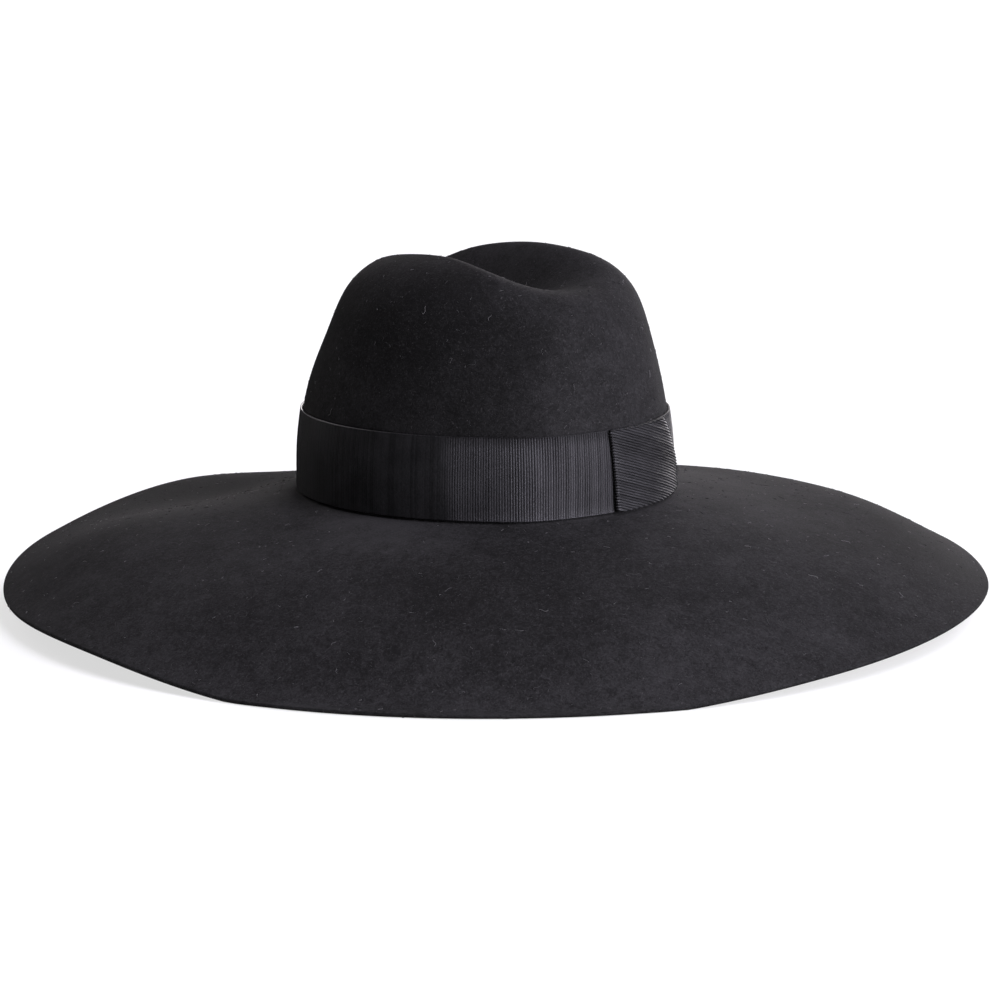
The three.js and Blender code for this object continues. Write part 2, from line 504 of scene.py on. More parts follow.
class Graph:
    """A node tree that is written in Python."""

    def __init__(self, tree: bpy.types.NodeTree) -> None:
        """Takes a tree and empties it."""
        self.tree = tree
        tree.nodes.clear()

    def node(
        self, kind: str, settings: dict[str, Any] | None = None,
        values: dict[int | str, Value] | None = None, output: int | str = 0,
    ) -> "Wire":
        """Adds a node.

        Args:
            kind: the node's type.
            settings: the node's own options, set first.
            values: a value or a wire for each socket, by name, or by number where names repeat.
            output: the output to hand on, by number or name.

        Returns:
            That output.
        """
        made = self.tree.nodes.new(kind)
        for option, value in (settings or {}).items():
            setattr(made, option, value)
        for place, value in (values or {}).items():
            self.join(value, made.inputs[place])
        return Wire(self, made, output)

    def maths(self, operation: str, *values: Value) -> "Wire":
        """Works out a sum of numbers.

        Args:
            operation: the Math node's operation.
            values: its inputs, in order.

        Returns:
            The result.
        """
        return self.node("ShaderNodeMath", {"operation": operation}, dict(enumerate(values)))

    def vector(self, x: Value = 0.0, y: Value = 0.0, z: Value = 0.0) -> "Wire":
        """Joins three numbers to a vector."""
        return self.node("ShaderNodeCombineXYZ", values={0: x, 1: y, 2: z})

    def join(self, value: Value, socket: bpy.types.NodeSocket) -> None:
        """Sets a socket to a value, or links a wire to it.

        Args:
            value: the value or the wire.
            socket: the socket.
        """
        if isinstance(value, Wire):
            self.tree.links.new(value.socket, socket)
        else:
            socket.default_value = value


def operator(operation: str, swapped: bool = False) -> Callable[["Wire", Value], "Wire"]:
    """Makes the method behind an operator.

    Args:
        operation: the Math node's operation.
        swapped: whether the wire is the second of the two values.

    Returns:
        The method.
    """

    def method(wire: "Wire", other: Value) -> "Wire":
        """Works out the operation."""
        return wire.graph.maths(operation, *((other, wire) if swapped else (wire, other)))

    return method


class Wire:
    """An output of a node, which takes part in sums."""

    __add__, __radd__ = operator("ADD"), operator("ADD", swapped=True)
    __sub__, __rsub__ = operator("SUBTRACT"), operator("SUBTRACT", swapped=True)
    __mul__, __rmul__ = operator("MULTIPLY"), operator("MULTIPLY", swapped=True)
    __pow__ = operator("POWER")

    def __init__(self, graph: Graph, node: bpy.types.Node, output: int | str) -> None:
        """Takes a node's output by its number or name."""
        self.graph = graph
        self.made = node
        self.socket = node.outputs[output] if node.outputs else None

    def other(self, output: str) -> "Wire":
        """Hands on another output of the same node."""
        return Wire(self.graph, self.made, output)

    def sine(self) -> "Wire":
        """Takes the sine."""
        return self.graph.maths("SINE", self)

    def size(self) -> "Wire":
        """Drops the sign."""
        return self.graph.maths("ABSOLUTE", self)

    def whole(self) -> "Wire":
        """Rounds down."""
        return self.graph.maths("FLOOR", self)

    def between(self, low: float, high: float) -> "Wire":
        """Rises smoothly from 0 to 1.

        Args:
            low: the value that gives 0.
            high: the value that gives 1.

        Returns:
            The result.
        """
        settings = {"interpolation_type": "SMOOTHSTEP"}
        values = {"Value": self, "From Min": low, "From Max": high}
        return self.graph.node("ShaderNodeMapRange", settings, values)


@dataclass(frozen=True)
class Grain:
    """A soft random pattern: its patches' size in millimetres, its finer patterns and its twist.

    Its weight says how far it sways a tone or a roughness.
    """

    size: float
    detail: float = 2.0
    warp: float = 0.0
    weight: float = 1.0


class Finish(Graph):
    """A material written in Python, on Object coordinates."""

    def __init__(self, name: str) -> None:
        """Makes an empty material."""
        self.material = bpy.data.materials.new(name)
        self.material.use_nodes = True
        super().__init__(self.material.node_tree)
        self.place = self.node("ShaderNodeTexCoord", output="Object")

    def noise(self, grain: Grain) -> Wire:
        """Adds a soft random pattern.

        Args:
            grain: the pattern.

        Returns:
            Its values, mostly from 0.3 to 0.7.
        """
        values = {"Vector": self.place, "Scale": 1 / (grain.size * MM),
                  "Detail": grain.detail, "Distortion": grain.warp}
        return self.node("ShaderNodeTexNoise", {"normalize": True}, values)

    def colours(self, share: Wire, first: "Wire | Colour", second: "Wire | Colour") -> Wire:
        """Mixes two colours.

        Args:
            share: 0 for the first colour and 1 for the second.
            first, second: the colours.

        Returns:
            The mixed colour.
        """
        values = {0: share, 6: self.colour(first), 7: self.colour(second)}
        return self.node("ShaderNodeMix", {"data_type": "RGBA"}, values, output=2)

    @staticmethod
    def colour(value: "Wire | Colour") -> Value:
        """Gives a plain colour its full alpha."""
        return value if isinstance(value, Wire) else (*value, 1.0)

    def mark(self, mark: Mark) -> Wire:
        """Reads a number that the mesh keeps for each point."""
        return self.node("ShaderNodeAttribute", {"attribute_name": mark.value}, output="Fac")

    def bump(self, height: Wire, relief: tuple[float, float], under: Wire | None = None) -> Wire:
        """Turns a height into a normal.

        Args:
            height: the height, from 0 to 1.
            relief: how deep the relief is, in millimetres, and how much of it shows.
            under: a normal to lay it over.

        Returns:
            The new normal.
        """
        values = {"Height": height, "Distance": relief[0] * MM, "Strength": relief[1]}
        if under is not None:
            values["Normal"] = under
        return self.node("ShaderNodeBump", values=values)

    def surface(self, values: dict[int | str, Value]) -> bpy.types.Material:
        """Ends the material in one shader.

        Args:
            values: the shader's sockets.

        Returns:
            The material.
        """
        shader = self.node("ShaderNodeBsdfPrincipled", values=values)
        self.node("ShaderNodeOutputMaterial", values={"Surface": shader})
        return self.material


@dataclass(frozen=True)
class BlackFelt:
    """Black wool felt with a short nap: clouded, finely mottled and flecked with paler wool."""

    dark: Colour = (0.0052, 0.0051, 0.0052)
    light: Colour = (0.0215, 0.0208, 0.0220)
    fleck: Colour = (0.044, 0.041, 0.043)
    middle: float = 0.36
    spread: tuple[float, float] = (-0.15, 1.15)
    cloud: Grain = Grain(45.0, 2, 0.0, 0.6)
    smudge: Grain = Grain(11.0, 3, 0.6, 0.5)
    tuft: Grain = Grain(2.9, 3, 1.4, 1.05)
    hair: Grain = Grain(0.8, 2, 0.8, 1.0)
    curl: Grain = Grain(3.4, 1, 1.8, 0.45)
    curl_width: float = 0.035
    curl_places: Grain = Grain(2.2, 1)
    curl_rarity: tuple[float, float] = (0.46, 0.6)
    flecks: Grain = Grain(1.0, 1, 2.0)
    fleck_rarity: tuple[float, float] = (0.65, 0.80)
    tuft_relief: tuple[float, float] = (0.22, 0.6)
    hair_relief: tuple[float, float] = (0.12, 0.7)
    curl_height: float = 0.5
    roughness: tuple[float, float] = (0.86, 0.14)
    gloss: float = 0.06

    def material(self) -> bpy.types.Material:
        """Builds the material.

        Returns:
            The material.
        """
        made = Finish("black_wool_felt")
        cloud, smudge, tuft, hair = (
            made.noise(grain) for grain in (self.cloud, self.smudge, self.tuft, self.hair)
        )
        away = (made.noise(self.curl) - 0.5).size()
        curls = 1 - away.between(0, self.curl_width)
        curls = curls * made.noise(self.curl_places).between(*self.curl_rarity)
        nap = (tuft - 0.5) * self.tuft.weight + (hair - 0.5) * self.hair.weight
        nap = nap + curls * self.curl.weight
        tone = (cloud - 0.5) * self.cloud.weight + (smudge - 0.5) * self.smudge.weight
        # the shade mark adds the patches' painted light and shade to the tone
        tone = tone + nap * made.mark(Mark.NAP) + made.mark(Mark.SHADE) * (smudge + 0.5)
        tone = (tone + self.middle).between(*self.spread)
        flecks = made.noise(self.flecks).between(*self.fleck_rarity)
        colour = made.colours(flecks, made.colours(tone, self.dark, self.light), self.fleck)
        normal = made.bump(hair + curls * self.curl_height, self.hair_relief)
        return made.surface({
            "Base Color": colour,
            "Roughness": self.roughness[0] + self.roughness[1] * tuft,
            "Specular IOR Level": self.gloss,
            "Normal": made.bump(tuft, self.tuft_relief, normal),
        })


@dataclass(frozen=True)
class BlackGrosgrain:
    """Black ribbed ribbon with a dull silky sheen: fine threads cross each rib."""

    dark: Colour = (0.0057, 0.0056, 0.0058)
    light: Colour = (0.0330, 0.0320, 0.0345)
    tint: Colour = (0.95, 0.94, 1.0)
    middle: float = 0.12
    thread: float = 0.36
    thread_weight: float = 0.15
    rib_weight: float = 0.2
    wear: Grain = Grain(14.0, 3, 0.0, 0.4)
    fine: Grain = Grain(0.9, 2, 0.5, 0.4)
    roughness: float = 0.39
    wear_dulls: float = 0.15
    fine_dulls: float = 0.25
    shade_polishes: float = 0.3
    thread_relief: tuple[float, float] = (0.05, 0.8)
    fine_relief: tuple[float, float] = (0.06, 0.6)
    gloss: float = 0.18

    def material(self) -> bpy.types.Material:
        """Builds the material.

        Returns:
            The material.
        """
        made = Finish("black_grosgrain")
        along = made.mark(Mark.ALONG)
        thread = (along * (2 * math.pi / (self.thread * MM))).sine() * 0.5 + 0.5
        # the shade mark is painted light and shade: painted sheen on the band, painted highlight
        # and shadow along the edges
        shade = made.mark(Mark.SHADE)
        wear, fine = made.noise(self.wear), made.noise(self.fine)
        tone = thread * self.thread_weight + made.mark(Mark.TONE) * self.rib_weight
        tone = tone + (wear - 0.5) * self.wear.weight + (fine - 0.5) * self.fine.weight
        tone = (tone + shade + self.middle).between(0, 1)
        rough = self.roughness + (fine - 0.5) * self.fine_dulls + (wear - 0.5) * self.wear_dulls
        return made.surface({
            "Base Color": made.colours(tone, self.dark, self.light),
            "Roughness": rough - shade * self.shade_polishes,
            "Specular IOR Level": self.gloss,
            "Specular Tint": made.colour(self.tint),
            "Normal": made.bump(thread, self.thread_relief, made.bump(fine, self.fine_relief)),
        })


@dataclass(frozen=True)
class PaleLint:
    """Loose wool, from dark grey to pale, without gloss."""

    dark: Colour = (0.026, 0.025, 0.026)
    pale: Colour = (0.16, 0.155, 0.16)
    patch: Grain = Grain(0.8, 1, 0.0, 0.3)
    pale_rarity: float = 3.0
    relief: tuple[float, float] = (0.02, 0.5)
    roughness: tuple[float, float] = (0.9, 0.1)
    gloss: float = 0.1

    def material(self) -> bpy.types.Material:
        """Builds the material.

        Returns:
            The material.
        """
        made = Finish("pale_lint")
        patch = made.noise(self.patch)
        tone = made.mark(Mark.TONE) ** self.pale_rarity + (patch - 0.5) * self.patch.weight
        return made.surface({
            "Base Color": made.colours(tone.between(0, 1), self.dark, self.pale),
            "Roughness": self.roughness[0] + patch * self.roughness[1],
            "Specular IOR Level": self.gloss,
            "Normal": made.bump(patch, self.relief),
        })


# Geometry Nodes


class Recipe(Graph):
    """A Geometry Nodes tree with named inputs, which turns a piece's mesh into another one."""

    def __init__(self, name: str, sizes: dict[str, float | int]) -> None:
        """Makes the tree and its inputs.

        Args:
            name: the tree's name.
            sizes: the named inputs and their values.
        """
        tree = bpy.data.node_groups.new(name, "GeometryNodeTree")
        super().__init__(tree)
        self.sizes = sizes
        for way in ("INPUT", "OUTPUT"):
            tree.interface.new_socket("Geometry", in_out=way, socket_type="NodeSocketGeometry")
        for size, value in sizes.items():
            kind = "NodeSocketInt" if isinstance(value, int) else "NodeSocketFloat"
            tree.interface.new_socket(size, in_out="INPUT", socket_type=kind)
        self.given = self.node("NodeGroupInput")

    def size(self, name: str) -> Wire:
        """Hands on a named input."""
        return self.given.other(name)

    def mark(self, mark: Mark) -> Wire:
        """Reads a number that the mesh keeps."""
        values = {"Name": mark.value}
        return self.node("GeometryNodeInputNamedAttribute", {"data_type": "FLOAT"}, values)

    def store(self, shape: Wire, mark: Mark, value: Wire) -> Wire:
        """Keeps a number for each point of a shape.

        Args:
            shape: the shape.
            mark: the number's name.
            value: its value.

        Returns:
            The shape.
        """
        settings = {"data_type": "FLOAT", "domain": "POINT"}
        values = {"Geometry": shape, "Name": mark.value, "Value": value}
        return self.node("GeometryNodeStoreNamedAttribute", settings, values)

    def chance(self, low: float, high: float, draw: int, owner: Wire | None = None) -> Wire:
        """Draws a random number for each point.

        Args:
            low: the least.
            high: the most.
            draw: what is added to the seed, so that no two draws are alike.
            owner: a whole number that points share if they share the draw.

        Returns:
            The number.
        """
        values = {2: low, 3: high, "Seed": self.size("Seed") + draw}
        if owner is not None:
            values["ID"] = owner
        return self.node("FunctionNodeRandomValue", {"data_type": "FLOAT"}, values, output=1)

    def finish(self, shape: Wire, material: bpy.types.Material) -> None:
        """Ends the tree.

        Args:
            shape: the finished shape.
            material: its material.
        """
        shape = self.node("GeometryNodeSetShadeSmooth", values={"Geometry": shape})
        shape = self.node("GeometryNodeRealizeInstances", values={"Geometry": shape})
        values = {"Geometry": shape, "Material": material}
        shape = self.node("GeometryNodeSetMaterial", values=values)
        self.node("NodeGroupOutput", values={"Geometry": shape})

    def apply(self, piece: bpy.types.Object) -> None:
        """Runs the tree on a piece and leaves the result as its plain mesh.

        Args:
            piece: the piece.
        """
        modifier = piece.modifiers.new(self.tree.name, "NODES")
        modifier.node_group = self.tree
        for item in self.tree.interface.items_tree:
            if item.in_out == "INPUT" and item.name in self.sizes:
                modifier[item.identifier] = self.sizes[item.name]
        seen = piece.evaluated_get(bpy.context.evaluated_depsgraph_get())
        mesh = bpy.data.meshes.new_from_object(seen)
        piece.modifiers.clear()
        piece.data = mesh


@dataclass(frozen=True)
class Ribs:
    """Rounded ribs that a smooth marked ribbon is carved into, each a little unlike the next."""

    depth: float = 0.64
    bulge: float = 0.94
    uneven: float = 0.35
    wander: float = 0.35
    stray: float = 7.0
    seed: int = 11

    def recipe(self, material: bpy.types.Material) -> Recipe:
        """Builds the tree.

        Args:
            material: the ribbon's material.

        Returns:
            The recipe.
        """
        made = Recipe("ribs", {
            "Depth": self.depth * MM, "Bulge": self.bulge, "Uneven": self.uneven,
            "Wander": self.wander, "Stray": 1 / (self.stray * MM), "Seed": self.seed,
        })
        drift = made.node("ShaderNodeTexNoise", values={"Scale": made.size("Stray"), "Detail": 1.0})
        rib = made.mark(Mark.RIB) + (drift - 0.5) * made.size("Wander")
        tone = made.chance(0.0, 1.0, 0, rib.whole())
        across = ((rib - rib.whole()) * 2 - 1) * made.size("Bulge")
        height = 1 - across ** 2.0
        height = height * (1 - tone * made.size("Uneven") * height)
        carved = made.node("ShaderNodeVectorMath", {"operation": "SCALE"}, {
            0: made.node("GeometryNodeInputNormal"),
            "Scale": (height - 1) * made.size("Depth") * made.mark(Mark.OUTSIDE),
        })
        shape = made.store(made.given, Mark.TONE, tone)
        shape = made.node("GeometryNodeSetPosition", values={"Geometry": shape, "Offset": carved})
        made.finish(shape, material)
        return made


# Sub-assemblies


def settle(piece: bpy.types.Object, slot: str, *nodes: str) -> None:
    """Lets a finished piece ride on the hat.

    Args:
        piece: the piece.
        slot: not used.
        nodes: the solids that it stands for.
    """
    if nodes:
        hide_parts(*nodes)
    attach(piece, BODY)
    log.info("%s: %d triangles", piece.name, triangles(piece))


@dataclass
class FeltBody:
    """The crown and the brim, one shell of felt with a cut edge.

    Its patches, placed by the way down the profile, are painted light and shade on the felt's tone.
    """

    form: HatForm
    finish: BlackFelt
    columns: int = 288
    shoulder_way: float = 0.45
    top_rows: int = 72
    wall_rows: int = 34
    break_rows: int = 5
    brim_rows: int = 64
    edge_rows: int = 7
    edge_round: float = 0.9
    lower_share: float = 0.5
    edge_flat: tuple[float, float] = (0.6, 0.7)
    crown_nap: float = 0.9
    brim_nap: float = 1.3
    nap_ways: tuple[float, float] = (1.8, 2.15)
    # painted light and shade: paler tone at the crown's foot and in the crease's hollow, darker on
    # the crown's top and across the far brim
    patches: tuple[Spot, ...] = (
        Spot(angle=0.0, place=1.9, turn=400.0, reach=0.20, most=0.10),
        Spot(angle=108.0, place=2.08, turn=20.0, reach=0.22, most=0.55),
        Spot(angle=219.0, place=2.15, turn=30.0, reach=0.35, most=0.14),
        Spot(angle=139.0, place=2.50, turn=24.0, reach=0.30, most=-0.24),
        Spot(angle=92.0, place=2.80, turn=34.0, reach=0.35, most=0.08),
        Spot(angle=20.0, place=2.35, turn=32.0, reach=0.35, most=-0.36),
        Spot(angle=230.0, place=2.85, turn=18.0, reach=0.25, most=-0.24),
        Spot(angle=-4.0, place=2.85, turn=26.0, reach=0.30, most=-0.60),
        Spot(angle=295.0, place=0.20, turn=70.0, reach=0.13, most=0.45),
        Spot(angle=163.0, place=2.86, turn=14.0, reach=0.20, most=0.22),
        Spot(angle=125.0, place=3.0, turn=45.0, reach=0.12, most=0.10),
        Spot(angle=108.0, place=0.50, turn=50.0, reach=0.26, most=-0.24),
    )

    def ways(self, share: float) -> Numbers:
        """Lists the ways down the profile.

        Args:
            share: how many of the rows to keep.

        Returns:
            The ways, from just off the crown's middle to the brim's edge.
        """
        stops = (0, self.shoulder_way, 1, 2, 3)
        counts = (self.top_rows, self.wall_rows, self.break_rows, self.brim_rows)
        runs = [
            np.linspace(start, end, max(int(count * share), 2) + 1)[1:]
            for start, end, count in zip(stops, stops[1:], counts)
        ]
        return np.concatenate(runs)

    def edge(self, angles: Numbers) -> Numbers:
        """Makes the rows that round the brim's cut edge.

        Args:
            angles: angles round the crown.

        Returns:
            The rows' points, from the edge's upper side to its lower one.
        """
        turns = np.linspace(0, math.pi, self.edge_rows + 2)[1:-1, None, None]
        last = np.full_like(angles, 3.0)
        top, middle = (self.form.wall(last, angles, depth) for depth in (0.0, 0.5))
        before = self.form.wall(last - self.form.slope_step, angles, 0.0)
        out = unit(top - before) * self.edge_round
        up = top - middle
        swell = np.sign(np.cos(turns)) * np.abs(np.cos(turns)) ** self.edge_flat[0]
        rows = middle + up * swell + out * np.sin(turns) ** self.edge_flat[1]
        rows[..., 2] = np.maximum(rows[..., 2], 0)
        return rows

    def build(self) -> bpy.types.Object:
        """Makes the shell, marks its points and gives it its felt.

        Returns:
            The finished piece.
        """
        angles = np.arange(self.columns) * 360 / self.columns
        upper_ways = self.ways(1.0)[:, None]
        upper = self.form.wall(upper_ways, angles, 0.0)
        lower = self.form.wall(self.ways(self.lower_share)[::-1, None], angles, 1.0)
        rows = np.concatenate([upper, self.edge(angles), lower])
        middle = self.form.upper(0.0, 0.0)
        poles = np.stack([middle, middle - [0, 0, self.form.felt]])
        count = rows.shape[0] * self.columns
        faces = grid_faces(rows.shape[0], self.columns)
        for column in range(self.columns):
            beside = (column + 1) % self.columns
            end = count - self.columns
            faces += [(count, column, beside), (count + 1, end + beside, end + column)]
        points = np.concatenate([rows.reshape(-1, 3), poles])
        piece = new_piece("felt_crown_and_brim", points, faces)
        on_top = len(upper) * self.columns
        outside, shade = np.zeros((2, len(points)))
        outside[: on_top + self.edge_rows * self.columns] = 1
        # the patches' painted light and shade, kept for the felt's finish
        shade[:on_top] = sum(patch.at(upper_ways, angles) for patch in self.patches).ravel()
        nap = np.full(len(points), self.brim_nap)
        upper_nap = np.interp(upper_ways, self.nap_ways, (self.crown_nap, self.brim_nap))
        nap[:on_top] = np.broadcast_to(upper_nap, upper.shape[:2]).ravel()
        nap[count:] = self.crown_nap
        keep(piece, Mark.OUTSIDE, outside)
        keep(piece, Mark.SHADE, shade)
        keep(piece, Mark.NAP, nap)
        piece.data.materials.append(self.finish.material())
        return piece


@dataclass(frozen=True)
class Lint:
    """The fibres that the felt has caught: short, bent and laid flat on its outside."""

    finish: PaleLint
    density: float = 13000.0
    length: float = 5.0
    shortest: float = 0.09
    growth: float = 0.9
    rarity: float = 9.0
    thickness: float = 0.09
    thinnest: float = 0.6
    thickest: float = 1.2
    bend: float = 0.8
    most_bent: float = 1.3
    bends: float = 0.8
    off: float = 0.06
    points: int = 6
    sides: int = 3
    seed: int = 29

    def recipe(self) -> Recipe:
        """Builds the tree, which spreads fibres where a mesh is marked as outside.

        Returns:
            The recipe.
        """
        made = Recipe("lint", {
            "Density": self.density, "Length": self.length * MM,
            "Thickness": self.thickness * MM, "Bend": self.bend * MM, "Off": self.off * MM,
            "Points": self.points, "Seed": self.seed,
        })
        spread = made.node("GeometryNodeDistributePointsOnFaces", {"distribute_method": "RANDOM"}, {
            "Mesh": made.given, "Density": made.size("Density") * made.mark(Mark.OUTSIDE),
            "Seed": made.size("Seed"),
        })
        places = made.store(spread, Mark.TONE, made.chance(0.0, 1.0, 1))
        scale = made.vector(
            made.chance(0.0, 1.0, 2) ** self.rarity * self.growth + self.shortest,
            made.chance(-self.most_bent, self.most_bent, 3),
            made.chance(self.thinnest, self.thickest, 4),
        )
        spin = made.vector(z=made.chance(0.0, 2 * math.pi, 5))
        spin = made.node("FunctionNodeEulerToRotation", values={"Euler": spin})
        turned = made.node("FunctionNodeRotateRotation", {"rotation_space": "LOCAL"}, {
            "Rotation": spread.other("Rotation"), "Rotate By": spin,
        })
        fibres = made.node("GeometryNodeInstanceOnPoints", values={
            "Points": places, "Instance": self.fibre(made), "Rotation": turned, "Scale": scale,
        })
        made.finish(fibres, self.finish.material())
        return made

    def fibre(self, made: Recipe) -> Wire:
        """Makes one fibre, a thin closed tube along a wavy line.

        Args:
            made: the recipe that it is made in.

        Returns:
            The fibre.
        """
        line = made.node("GeometryNodeCurvePrimitiveLine", values={
            "Start": (-0.5, 0.0, 0.0), "End": (0.5, 0.0, 0.0),
        })
        values = {"Curve": line, "Count": made.size("Points")}
        line = made.node("GeometryNodeResampleCurve", values=values)
        way = made.node("GeometryNodeSplineParameter")
        bent = made.vector(
            (way - 0.5) * made.size("Length"),
            (way * (self.bends * 2 * math.pi)).sine() * made.size("Bend"),
            (way * math.pi).sine() * made.size("Off") + made.size("Off"),
        )
        line = made.node("GeometryNodeSetPosition", values={"Geometry": line, "Position": bent})
        profile = made.node("GeometryNodeCurvePrimitiveCircle", {"mode": "RADIUS"}, {
            "Resolution": self.sides, "Radius": made.size("Thickness"),
        })
        return made.node("GeometryNodeCurveToMesh", values={
            "Curve": line, "Profile Curve": profile, "Fill Caps": True,
        })

    def build(self, felt: bpy.types.Object) -> bpy.types.Object:
        """Spreads fibres over the felt.

        Args:
            felt: the felt shell.

        Returns:
            The finished piece.
        """
        piece = placed("felt_lint", felt.data.copy())
        self.recipe().apply(piece)
        return piece


@dataclass
class Ribbon:
    """What the ribbon and its wrap share: a closed strip over the wall, carved into ribs."""

    form: HatForm
    finish: BlackGrosgrain
    ribs: Ribs
    under: float
    low: float = 1.2
    high: float = 41.0
    thickness: float = 1.2
    pitch: float = 1.27
    per_rib: int = 8
    border: float = 0.7

    def near_edge(self, inside: Numbers) -> Numbers:
        """Says how fully the ribs show, by the distance in from the ribbon's edge."""
        return np.clip(inside / self.border, 0, 1) ** 2

    def carve(
        self, name: str, loops: Numbers, marks: dict[Mark, Numbers], ring: bool,
    ) -> bpy.types.Object:
        """Joins loops of points, one after another across the ribs, and carves them.

        Args:
            name: the piece's name.
            loops: the loops' points, as rows.
            marks: what the mesh keeps for each point.
            ring: whether the last loop meets the first.

        Returns:
            The finished piece.
        """
        rows, columns = loops.shape[:2]
        count = rows * columns
        faces = grid_faces(rows + ring, columns)
        if ring:
            faces = [tuple(point % count for point in face) for face in faces]
        else:
            faces += [tuple(range(columns)), tuple(range(count - 1, count - columns - 1, -1))]
        piece = new_piece(name, loops, faces)
        for mark, values in marks.items():
            keep(piece, mark, np.broadcast_to(values, (rows, columns)))
        self.ribs.recipe(self.finish.material()).apply(piece)
        return piece


@dataclass
class RibbonBand(Ribbon):
    """The ribbon round the crown's foot, with its ribs upright.

    Pairs of fields say, angle by angle, how deep its pressed ribs still are, how much painted
    sheen makes it paler and how much painted light and shade its upper edge has.
    """

    under: float = 0.3
    rows: int = 9
    slant: float = 0.055
    pressed: tuple[float, ...] = (40.0, 60.0, 124.5, 128.0, 165.0)
    pressed_depth: tuple[float, ...] = (0.8, 0.09, 0.09, 0.60, 0.74)
    # painted sheen: how much paler the band is painted, angle by angle, where the lights glint on
    # it
    sheen_angles: tuple[float, ...] = (40.0, 60.0, 115.0, 124.5, 128.5, 150.0, 166.0)
    painted_sheen: tuple[float, ...] = (0.0, 0.06, 0.02, 0.02, 0.42, 0.26, 0.10)
    # painted light and shade along the upper edge: a painted highlight on the left and a painted
    # shadow on the right
    edge_turn: tuple[float, ...] = (50.0, 100.0, 135.0, 165.0)
    edge_light_and_shade: tuple[float, ...] = (0.2, 0.1, 0.0, -0.6)
    edge_width: float = 0.9
    edge_fade: float = 0.5
    rim_inset: tuple[float, ...] = (0.0, 0.1, 0.35)
    rim_drop: tuple[float, ...] = (0.25, 0.04, 0.0)

    def build(self) -> bpy.types.Object:
        """Makes the ribbon.

        Returns:
            The finished piece.
        """
        middle = (self.low + self.high) / 2
        count = round(self.form.length_at(middle, 360.0) / self.pitch) * self.per_rib
        angles = self.form.angles_at(middle, np.arange(count) / count)[:, None]
        body = np.linspace(self.low + self.border, self.high - self.border, self.rows)
        inset, drop = np.array(self.rim_inset), np.array(self.rim_drop)
        rims = self.low + inset, self.high - inset[::-1]
        heights = np.concatenate([rims[0], body, rims[1], [self.high, self.low]])
        lift = np.concatenate([-drop, np.zeros(self.rows), -drop[::-1], [-self.thickness] * 2])
        offs = self.under + self.thickness + lift
        outside = self.near_edge(np.minimum(heights - self.low, self.high - heights))
        turned = angles + heights * self.slant
        outside = outside * np.interp(turned, self.pressed, self.pressed_depth)
        # painted light and shade: a painted sheen by angle, and along the upper edge a painted
        # highlight and a painted shadow
        edge = np.clip((heights - self.high + self.edge_width) / self.edge_fade, 0, 1)
        shade = np.interp(turned, self.sheen_angles, self.painted_sheen) * (1 - edge)
        shade = shade + np.interp(angles, self.edge_turn, self.edge_light_and_shade) * edge
        loops = self.form.over_wall(heights, angles, offs)
        marks = {
            Mark.RIB: np.arange(count)[:, None] / self.per_rib,
            Mark.ALONG: heights * MM,
            Mark.OUTSIDE: outside,
            Mark.SHADE: shade,
        }
        return self.carve("ribbon_round_crown", loops, marks, ring=True)


